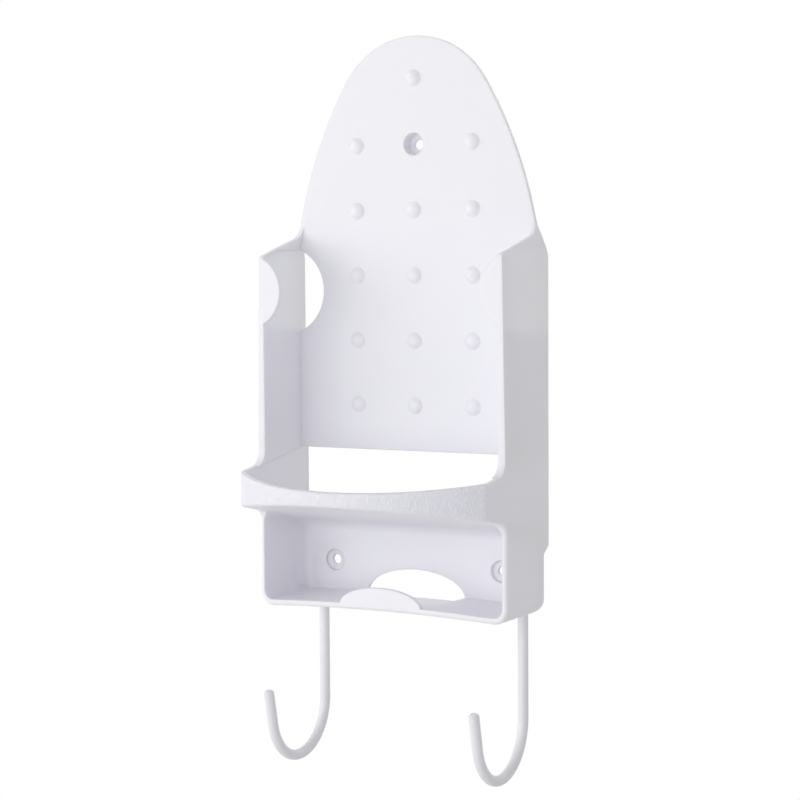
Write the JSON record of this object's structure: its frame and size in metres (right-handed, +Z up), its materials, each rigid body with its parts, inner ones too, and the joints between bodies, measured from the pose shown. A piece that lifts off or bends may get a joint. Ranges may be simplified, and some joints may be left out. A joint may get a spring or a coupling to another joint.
{
  "type": "clothes iron wall holder",
  "caption": "Wall-mounted moulded holder for a clothes iron, with a sole-shaped rest panel, a bowed heel trough, an open cubby and wire hooks for an ironing board.",
  "frame": {"origin": "the top screw's axis where it meets the house wall", "axes": "+X across to the right as seen from the front, +Y into the house wall, +Z up"},
  "size_m": [0.15, 0.1, 0.392],
  "materials": {
    "shell_plastic": "satin white moulding",
    "hook_wire": "smooth white coating"
  },
  "bodies": {
    "root": {"moulded_shell": "shell_plastic", "left_hook": "hook_wire", "right_hook": "hook_wire"}
  },
  "joints": []
}
